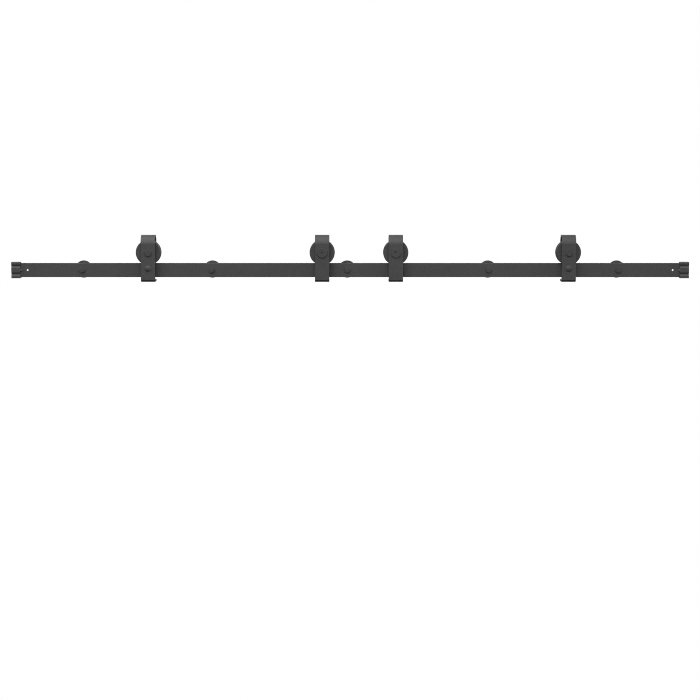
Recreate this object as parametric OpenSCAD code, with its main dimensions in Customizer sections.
// Flat-bar barn door track with four strap hangers, two for each door leaf.
// X runs along the rail, +Y points into the wall, +Z is up.
// The origin is on the wall plane, at the middle of the rail's length and height.

/* [Rail] */
// Length over the two end stops
overall_l = 1829; // [1820:1:1900]
// Height of the flat bar
rail_h = 38; // [37:0.5:38.5]
// Thickness of the flat bar
rail_t = 6; // [5.5:0.1:6.4]
// Distance from the wall to the back of the bar
standoff = 35; // [34:0.5:36]
// Distance of the outer wall screws from the middle
screw_outer_x = 724; // [700:1:740]
// Distance of the inner wall screws from the middle
screw_inner_x = 374; // [340:1:400]
// Position of the middle wall screw
screw_mid_x = -8; // [-20:1:20]
// Distance of the small end holes from the middle
end_hole_x = 871.3; // [860:0.1:880]
// Diameter of the small end holes
end_hole_d = 5.2; // [4:0.1:6]

/* [Wall fixings] */
// Diameter of the wall flange on each spacer
flange_d = 47; // [40:1:48]
// Thickness of the wall flange on each spacer
flange_t = 5; // [4:0.5:6]
// Diameter of the spacer's neck
neck_d = 24; // [20:1:26]
// Diameter of the wall screw's shank
screw_d = 8; // [7:0.5:8.5]
// Length of screw that stands out behind the wall plane
screw_out = 45; // [35:1:60]
// Size of the wall screw's hexagon across its flats
screw_af = 13; // [12:0.5:14]
// Thickness of the wall screw's head
screw_head_t = 3; // [3:0.5:5]
// Diameter of the washer under each head
washer_d = 17; // [16:0.5:20]
// Thickness of the washer
washer_t = 1.2; // [0.8:0.1:1.6]

/* [End stops] */
// Length of one end stop
stop_l = 24.5; // [20:0.5:26]
// Height of one end stop
stop_h = 43.5; // [42:0.5:46]
// Thickness of the stop in front of the bar
stop_front = 5; // [4.5:0.5:8]
// Thickness of the stop behind the bar
stop_back = 9; // [6:0.5:10]
// Thickness of the wall that closes the stop's outer end
stop_cap = 3; // [2:0.5:4]
// Width of each horizontal groove in the stop's front
groove_w = 10; // [8:0.2:11]
// Depth of each horizontal groove
groove_d = 2.6; // [2:0.2:3.6]
// Height of the grooves above and below the middle
groove_z = 10.8; // [10:0.2:11]

/* [Hangers] */
// Position of the first hanger along the rail
hanger_1_x = -543.9; // [-600:0.1:-500]
// Position of the second hanger
hanger_2_x = -75.4; // [-90:0.1:-70]
// Position of the third hanger
hanger_3_x = 123; // [110:0.1:140]
// Position of the fourth hanger
hanger_4_x = 588.3; // [540:0.1:640]
// Width of the strap
strap_w = 38.5; // [36:0.5:40]
// Thickness of the strap
strap_t = 5; // [4.5:0.1:5.2]
// Outer radius of the strap's top bend
bend_r = 25; // [24.5:0.1:25.5]
// Height of the centre of the top bend
bend_z = 70.3; // [69:0.1:72]
// Height of the underside of the foot
foot_z = -30.5; // [-32:0.1:-29]
// Depth of the foot from the strap's front face
foot_d = 46.5; // [42:0.5:48]
// Diameter of the two screw holes in the foot
foot_hole_d = 6.5; // [5:0.1:7]
// Distance between the two screw holes
foot_hole_gap = 20; // [18:0.5:22]

/* [Wheels] */
// Radius of the tread that rolls on the bar
tread_r = 29; // [28:0.1:29.5]
// Radius of the two flanges
wheel_r = 34; // [33:0.1:34.5]
// Width of the wheel over its flanges
wheel_w = 22; // [20:0.5:23]
// Width of the tread between the flanges
tread_w = 8; // [7.6:0.1:9]
// Diameter of the axle
axle_d = 12; // [11.9:0.02:12]

/* [Hidden] */

coat = [0.16, 0.16, 0.165];
coat_dark = [0.12, 0.12, 0.125];
steel = [0.62, 0.63, 0.65];
black = [0.05, 0.05, 0.05];

cut = 1;    // how far a cut runs past a face
lap = 0.5;  // short overlap between joined shapes, or past a face

// Bar: its back and front faces, and the plane midway between them
rail_back_y = -standoff;
rail_front_y = -standoff - rail_t;
mid_y = -standoff - rail_t / 2;
half_l = overall_l / 2;
rail_half = half_l - stop_cap;

// Wall fixings
screw_x = [-screw_outer_x, -screw_inner_x, screw_mid_x, screw_inner_x, screw_outer_x];
screw_hole_r = 4.5;
washer_front_y = rail_front_y - washer_t;
flange_bevel = 1;
screw_tip_l = 10;
screw_tip_r = 0.6;
runout_l = 3;
runout_depth = 0.4;

// End stops: inner_x is the distance of their inner ends from the middle
stop_inner_x = half_l - stop_l;
stop_front_y = rail_front_y - stop_front;
stop_back_y = rail_back_y + stop_back;
slot_gap = 0.05;
set_screw_x = half_l - 12;
set_screw_z = 10;
set_screw_r = 3;
set_screw_gap = 0.02;
set_screw_sunk = 0.6;
set_socket_af = 3;
set_socket_d = 3;
nose_r = 2.1;
nose_out = 1.9;
nose_l = 9.7;

// Strap: faces of its two legs
strap_front_y = mid_y - bend_r;
strap_inner_y = strap_front_y + strap_t;
leg_back_y = mid_y + bend_r;
leg_inner_y = leg_back_y - strap_t;
// Bevel along the strap's lower front edge
fold_h = 4.5;
fold_d = 8;
foot_fillet = 1.5;
foot_corner_r = 6;
foot_hole_y = mid_y + 5;

// Axle: the wheel stands a hair above the bar
axle_z = rail_h / 2 + tread_r + 0.05;
axle_hole_r = 6.1;
axle_r = axle_d / 2 - 0.02;
axle_tip_r = axle_d / 2 - 1;
axle_tip_l = 1;
axle_end_y = leg_back_y + 6.8;
head_bevel = 0.5;
head_lap = 1;
axle_socket_af = 7;
axle_socket_d = 1.6;
axle_nut_af = 19;
axle_nut_t = 6;
bush_r = 8.5;

// Bearing
bearing_w = 10;
bearing_r = 16;
bearing_bore_r = 6.02;
inner_race_r = 9;        // outside of the inner race
outer_race_bore_r = 13;  // inside of the outer race
ball_count = 7;
ball_pitch_r = 11;
ball_r = 2.95;
ball_gap = 0.05;
shield_t = 0.6;
shield_inset = 0.8;
shield_gap = 0.15;

// Wheel's bore and snap ring
seat_r = 16.02;
shoulder_r = 14;
ring_groove_r = 16.9;
ring_groove_from = 0.05;  // groove's sides, behind the bearing
ring_groove_to = 1.4;
ring_offset = 0.1;
ring_t = 1.2;
ring_outer_r = 16.7;
ring_inner_r = 14.9;
ring_mouth_w = 4.4;
ring_cut_y = 3;
lug_r = 2.1;
lug_x = 4.3;
lug_z = -13.6;
lug_hole_r = 1;

// Domed bolt low on each outer strap
bolt_z = 5;
bolt_r = 5;
bolt_out = 5.6;
bolt_hole_r = 5.1;
dome_r = 18.1;
dome_centre = 15.7;  // behind the strap's front face
dome_box = 12;
bolt_nut_af = 16;
bolt_nut_t = 5;

// Corner radius of a hexagon
function hex_r(across_flats) = across_flats / sqrt(3);

// Turns a shape from +Z to +Y and starts it at y
module along_y(y) {
    translate([0, y, 0]) rotate([-90, 0, 0]) children();
}

// A cylinder along Y from y0 to y1
module rod_y(radius, y0, y1, facets = 96) {
    along_y(y0) cylinder(r = radius, h = y1 - y0, $fn = facets);
}

// A cutter for a hole through a part that spans y0 to y1
module hole_y(radius, y0, y1, facets = 64) {
    rod_y(radius, y0 - cut, y1 + cut, facets);
}

// A hexagonal prism along Y with its corners turned off at the front or the back
module hex_y(across_flats, y0, y1, front = true) {
    height = y1 - y0;
    narrow_r = across_flats / 2 * 0.97;
    wide_r = narrow_r + 2 * height;
    intersection() {
        along_y(y0) cylinder(r = hex_r(across_flats), h = height, $fn = 6);
        along_y(y0) cylinder(
            r1 = front ? narrow_r : wide_r,
            r2 = front ? wide_r : narrow_r,
            h = height,
            $fn = 96
        );
    }
}

// A hexagon nut whose front face is at y
module nut_y(across_flats, bore_r, y, thickness) {
    difference() {
        hex_y(across_flats, y, y + thickness, front = false);
        rod_y(bore_r, y - cut, y + thickness + 2 * cut, 64);
    }
}

// Repeats a shape at each wall screw
module at_screws() {
    for (x = screw_x) translate([x, 0, 0]) children();
}

// Flat bar with five screw holes and two small end holes
module rail() {
    color(coat) difference() {
        translate([-rail_half, rail_front_y, -rail_h / 2]) cube([2 * rail_half, rail_t, rail_h]);
        at_screws() hole_y(screw_hole_r, rail_front_y, rail_back_y);
        for (side = [-1, 1]) translate([side * end_hole_x, 0, 0])
            hole_y(end_hole_d / 2, rail_front_y, rail_back_y, 48);
    }
}

// Turned spacers: a narrow neck behind the bar and a wide flange on the wall
module wall_spacers() {
    flange_r = flange_d / 2;
    color(coat) at_screws() difference() {
        union() {
            rod_y(neck_d / 2, rail_back_y, -flange_t + lap);
            along_y(-flange_t) {
                cylinder(r1 = flange_r - flange_bevel, r2 = flange_r, h = flange_bevel, $fn = 96);
                translate([0, 0, flange_bevel])
                    cylinder(r = flange_r, h = flange_t - flange_bevel, $fn = 96);
            }
        }
        hole_y(screw_hole_r, rail_back_y, 0);
    }
}

// Hexagon-head lag screws with a tapered point
module wall_screws() {
    shank_r = screw_d / 2;
    tip_y = screw_out - screw_tip_l;
    color(coat_dark) at_screws() {
        hex_y(screw_af, washer_front_y - screw_head_t, washer_front_y);
        rod_y(shank_r, washer_front_y - lap, -runout_l, 64);
        // run-out of the thread, just inside the spacer
        rod_y(shank_r - runout_depth, -runout_l - lap, lap, 64);
        rod_y(shank_r, 0, tip_y, 64);
        along_y(tip_y) cylinder(r1 = shank_r, r2 = screw_tip_r, h = screw_tip_l, $fn = 64);
    }
}

// Plain washers between the screw heads and the bar
module screw_washers() {
    color(coat_dark) at_screws() difference() {
        rod_y(washer_d / 2, washer_front_y, rail_front_y, 64);
        hole_y(screw_hole_r, washer_front_y, rail_front_y);
    }
}

// In the end stop modules, side is -1 for the left end and 1 for the right.

// Repeats a shape at the two set screws of one stop
module at_set_screws(side) {
    for (z = [-set_screw_z, set_screw_z]) translate([side * set_screw_x, 0, z]) children();
}

// Moves to the middle of the stop's front wall at its inner end, with local +Z into the stop
module at_nose(side) {
    translate([side * stop_inner_x, rail_front_y - stop_front / 2, 0])
        rotate([0, side * 90, 0]) children();
}

// Cap that slides over the bar's end
module end_stop(side) {
    groove_half = groove_w / 2 * (1 + lap / groove_d);
    color(coat) difference() {
        translate([side > 0 ? stop_inner_x : -half_l, stop_front_y, -stop_h / 2])
            cube([stop_l, rail_t + stop_front + stop_back, stop_h]);
        // slot for the bar
        translate([
            side > 0 ? stop_inner_x - cut : -rail_half - slot_gap,
            rail_front_y - slot_gap,
            -rail_h / 2 - slot_gap
        ])
            cube([stop_l - stop_cap + cut + slot_gap, rail_t + 2 * slot_gap, rail_h + 2 * slot_gap]);
        // two horizontal vee grooves
        for (z = [-groove_z, groove_z])
            translate([side > 0 ? stop_inner_x - cut : -half_l - cut, stop_front_y, z])
                rotate([90, 0, 90]) linear_extrude(stop_l + 2 * cut)
                    polygon([[-lap, -groove_half], [groove_d, 0], [-lap, groove_half]]);
        // pocket for the nose
        at_nose(side) translate([0, 0, -cut]) cylinder(r = nose_r + 0.02, h = 9, $fn = 48);
        // threaded holes for the two set screws
        at_set_screws(side)
            rod_y(set_screw_r + set_screw_gap, rail_back_y - lap, stop_back_y + cut, 48);
    }
}

// Two set screws that clamp one stop on the bar, with hexagon sockets at the back
module stop_screws(side) {
    end_y = stop_back_y - set_screw_sunk;
    color(coat_dark) at_set_screws(side) difference() {
        rod_y(set_screw_r, rail_back_y + set_screw_gap, end_y, 48);
        along_y(end_y - set_socket_d)
            cylinder(r = hex_r(set_socket_af), h = set_socket_d + cut, $fn = 6);
    }
}

// Round-ended rubber nose plugged into the inner end of one stop
module stop_nose(side) {
    color(black) at_nose(side) {
        translate([0, 0, -nose_out]) cylinder(r = nose_r, h = nose_l, $fn = 48);
        translate([0, 0, -nose_out]) intersection() {
            sphere(r = nose_r, $fn = 48);
            translate([-3, -3, -3]) cube([6, 6, 3.1]);
        }
    }
}

// In the hanger modules, x is the hanger's place along the rail.

// Turns a profile about the axle. Its x is the radius, its y the distance in front of mid_y.
module turned(x, facets) {
    translate([x, mid_y, axle_z]) rotate([90, 0, 0]) rotate_extrude($fn = facets) children();
}

// Strap that hooks over the wheel, with a foot turned back under the bar
module strap(x, has_bolt) {
    half_w = strap_w / 2;
    corner_y = strap_front_y + foot_d - foot_corner_r;
    foot_top_z = foot_z + strap_t;
    color(coat) translate([x, 0, 0]) difference() {
        union() {
            // front leg and foot, with a flat bevel on the fold; points are [y, z]
            translate([-half_w, 0, 0]) rotate([90, 0, 90]) linear_extrude(strap_w) polygon([
                [strap_front_y, bend_z],
                [strap_front_y, foot_z + fold_h],
                [strap_front_y + fold_d, foot_z],
                [corner_y, foot_z],
                [corner_y, foot_top_z],
                [strap_inner_y + foot_fillet, foot_top_z],
                [strap_inner_y, foot_top_z + foot_fillet],
                [strap_inner_y, bend_z]
            ]);
            // top bend
            difference() {
                translate([-half_w, mid_y, bend_z]) rotate([0, 90, 0])
                    cylinder(r = bend_r, h = strap_w, $fn = 128);
                translate([-strap_w, mid_y, bend_z]) rotate([0, 90, 0])
                    cylinder(r = bend_r - strap_t, h = 2 * strap_w, $fn = 128);
                translate([-strap_w, mid_y - 2 * bend_r, bend_z - 4 * bend_r])
                    cube([2 * strap_w, 4 * bend_r, 4 * bend_r]);
            }
            // back leg, rounded below the axle
            translate([-half_w, leg_inner_y, axle_z]) cube([strap_w, strap_t, bend_z - axle_z]);
            translate([0, 0, axle_z]) rod_y(half_w, leg_inner_y, leg_back_y, 128);
            // the foot's back edge, with its two corners rounded
            translate([-half_w + foot_corner_r, corner_y, foot_z])
                cube([strap_w - 2 * foot_corner_r, foot_corner_r, strap_t]);
            for (side = [-1, 1]) translate([side * (half_w - foot_corner_r), corner_y, foot_z])
                cylinder(r = foot_corner_r, h = strap_t, $fn = 64);
        }
        translate([0, 0, axle_z]) hole_y(axle_hole_r, strap_front_y, leg_back_y);
        for (side = [-1, 1]) translate([side * foot_hole_gap / 2, foot_hole_y, foot_z - cut])
            cylinder(r = foot_hole_d / 2, h = strap_t + 2 * cut, $fn = 48);
        if (has_bolt) translate([0, 0, bolt_z])
            hole_y(bolt_hole_r, strap_front_y, strap_inner_y, 48);
    }
}

// Grooved wheel with a bearing seat and, behind it, a snap-ring groove
module wheel(x) {
    side = wheel_w / 2;
    tread = tread_w / 2;
    seat = bearing_w / 2;
    bevel = 1.5;
    lip = 0.6;  // small bevel on each flange's inner edge
    color(coat) turned(x, 128) polygon([
        // front flange
        [shoulder_r, side], [wheel_r - bevel, side], [wheel_r, side - bevel],
        [wheel_r, tread + 1 + lip], [wheel_r - lip, tread + 1],
        // tread
        [tread_r, tread], [tread_r, -tread],
        // back flange
        [wheel_r - lip, -tread - 1], [wheel_r, -tread - 1 - lip],
        [wheel_r, -side + bevel], [wheel_r - bevel, -side],
        // bore's mouth, snap-ring groove, seat and shoulder
        [17, -side], [seat_r, -side + 1],
        [seat_r, -seat - ring_groove_to], [ring_groove_r, -seat - ring_groove_to],
        [ring_groove_r, -seat - ring_groove_from], [seat_r, -seat - ring_groove_from],
        [seat_r, seat], [shoulder_r, seat]
    ]);
}

// A bearing race with a ball groove
module race(x, inner_r, outer_r) {
    turned(x, 96) difference() {
        translate([inner_r, -bearing_w / 2]) square([outer_r - inner_r, bearing_w]);
        translate([ball_pitch_r, 0]) circle(r = ball_r + ball_gap, $fn = 64);
    }
}

// Outer race, pressed in the wheel
module outer_race(x) {
    color(steel) race(x, outer_race_bore_r, bearing_r);
}

// Inner race, clamped on the axle between the two bushes
module inner_race(x) {
    color(steel) race(x, bearing_bore_r, inner_race_r);
}

// Ring of balls between the races
module bearing_balls(x) {
    color(steel) for (i = [0:ball_count - 1]) translate([x, mid_y, axle_z])
        rotate([0, i * 360 / ball_count, 0]) translate([ball_pitch_r, 0, 0])
            sphere(r = ball_r, $fn = 48);
}

// Thin ring shields that close both sides of the bearing
module bearing_shields(x) {
    color(black) for (side = [-1, 1])
        translate([x, mid_y + side * (bearing_w / 2 - shield_inset), axle_z]) difference() {
            rod_y(outer_race_bore_r, -shield_t / 2, shield_t / 2);
            rod_y(inner_race_r + shield_gap, -cut, cut);
        }
}

// Internal snap ring, open at the bottom, that keeps the bearing in the wheel
module snap_ring(x) {
    color(steel) translate([x, mid_y + bearing_w / 2 + ring_offset, axle_z]) difference() {
        union() {
            difference() {
                rod_y(ring_outer_r, 0, ring_t);
                rod_y(ring_inner_r, -cut, ring_cut_y);
                translate([-ring_mouth_w / 2, -cut, -20]) cube([ring_mouth_w, ring_cut_y + cut, 20]);
            }
            for (side = [-1, 1]) translate([side * lug_x, 0, lug_z]) rod_y(lug_r, 0, ring_t, 48);
        }
        for (side = [-1, 1]) translate([side * lug_x, 0, lug_z])
            rod_y(lug_hole_r, -cut, ring_cut_y, 32);
    }
}

// Axle bolt with a low flat round head. The wide head has a shallow hexagon socket.
module axle_bolt(x, wide) {
    head_r = wide ? 13.2 : 9.2;
    head_t = wide ? 3.2 : 3.4;
    head_y = strap_front_y - head_t;
    tip_y = axle_end_y - axle_tip_l;
    color(coat_dark) translate([x, 0, axle_z]) difference() {
        union() {
            along_y(head_y) {
                cylinder(r1 = head_r - head_bevel, r2 = head_r, h = head_bevel, $fn = 96);
                translate([0, 0, head_bevel])
                    cylinder(r = head_r, h = head_t - head_bevel, $fn = 96);
            }
            rod_y(axle_r, strap_front_y - head_lap, tip_y);
            along_y(tip_y) cylinder(r1 = axle_r, r2 = axle_tip_r, h = axle_tip_l, $fn = 96);
        }
        if (wide) along_y(head_y - cut)
            cylinder(r = hex_r(axle_socket_af), h = axle_socket_d + cut, $fn = 6);
    }
}

// Thin hexagon nut behind the back leg
module axle_nut(x) {
    color(coat_dark) translate([x, 0, axle_z]) nut_y(axle_nut_af, 6, leg_back_y, axle_nut_t);
}

// Two bushes that centre the wheel between the strap's legs
module axle_bushes(x) {
    spans = [[strap_inner_y, mid_y - bearing_w / 2], [mid_y + bearing_w / 2, leg_inner_y]];
    color(coat_dark) translate([x, 0, axle_z]) for (span = spans) difference() {
        rod_y(bush_r, span[0], span[1]);
        hole_y(6.05, span[0], span[1]);
    }
}

// Domed bolt low on an outer strap
module strap_bolt(x) {
    color(coat_dark) translate([x, 0, bolt_z]) {
        intersection() {
            translate([0, strap_front_y + dome_centre, 0]) sphere(r = dome_r, $fn = 96);
            translate([-dome_box, strap_front_y - dome_box, -dome_box])
                cube([2 * dome_box, dome_box, 2 * dome_box]);
        }
        rod_y(bolt_r, strap_front_y - head_lap, strap_inner_y + bolt_out, 64);
    }
}

// Thin nut on the domed bolt, between the strap and the bar
module strap_bolt_nut(x) {
    color(coat_dark) translate([x, 0, bolt_z])
        nut_y(bolt_nut_af, bolt_r + 0.02, strap_inner_y, bolt_nut_t);
}

rail();
wall_spacers();
wall_screws();
screw_washers();
end_stop(-1);  // end_stop_left
end_stop(1);  // end_stop_right
stop_screws(-1);  // stop_screws_left
stop_screws(1);  // stop_screws_right
stop_nose(-1);  // stop_nose_left
stop_nose(1);  // stop_nose_right

strap(hanger_1_x, true);  // strap_1
wheel(hanger_1_x);  // wheel_1
outer_race(hanger_1_x);  // outer_race_1
inner_race(hanger_1_x);  // inner_race_1
bearing_balls(hanger_1_x);  // bearing_balls_1
bearing_shields(hanger_1_x);  // bearing_shields_1
snap_ring(hanger_1_x);  // snap_ring_1
axle_bolt(hanger_1_x, false);  // axle_bolt_1
axle_nut(hanger_1_x);  // axle_nut_1
axle_bushes(hanger_1_x);  // axle_bushes_1
strap_bolt(hanger_1_x);  // strap_bolt_1
strap_bolt_nut(hanger_1_x);  // strap_bolt_nut_1

strap(hanger_2_x, false);  // strap_2
wheel(hanger_2_x);  // wheel_2
outer_race(hanger_2_x);  // outer_race_2
inner_race(hanger_2_x);  // inner_race_2
bearing_balls(hanger_2_x);  // bearing_balls_2
bearing_shields(hanger_2_x);  // bearing_shields_2
snap_ring(hanger_2_x);  // snap_ring_2
axle_bolt(hanger_2_x, true);  // axle_bolt_2
axle_nut(hanger_2_x);  // axle_nut_2
axle_bushes(hanger_2_x);  // axle_bushes_2

strap(hanger_3_x, false);  // strap_3
wheel(hanger_3_x);  // wheel_3
outer_race(hanger_3_x);  // outer_race_3
inner_race(hanger_3_x);  // inner_race_3
bearing_balls(hanger_3_x);  // bearing_balls_3
bearing_shields(hanger_3_x);  // bearing_shields_3
snap_ring(hanger_3_x);  // snap_ring_3
axle_bolt(hanger_3_x, true);  // axle_bolt_3
axle_nut(hanger_3_x);  // axle_nut_3
axle_bushes(hanger_3_x);  // axle_bushes_3

strap(hanger_4_x, true);  // strap_4
wheel(hanger_4_x);  // wheel_4
outer_race(hanger_4_x);  // outer_race_4
inner_race(hanger_4_x);  // inner_race_4
bearing_balls(hanger_4_x);  // bearing_balls_4
bearing_shields(hanger_4_x);  // bearing_shields_4
snap_ring(hanger_4_x);  // snap_ring_4
axle_bolt(hanger_4_x, false);  // axle_bolt_4
axle_nut(hanger_4_x);  // axle_nut_4
axle_bushes(hanger_4_x);  // axle_bushes_4
strap_bolt(hanger_4_x);  // strap_bolt_4
strap_bolt_nut(hanger_4_x);  // strap_bolt_nut_4
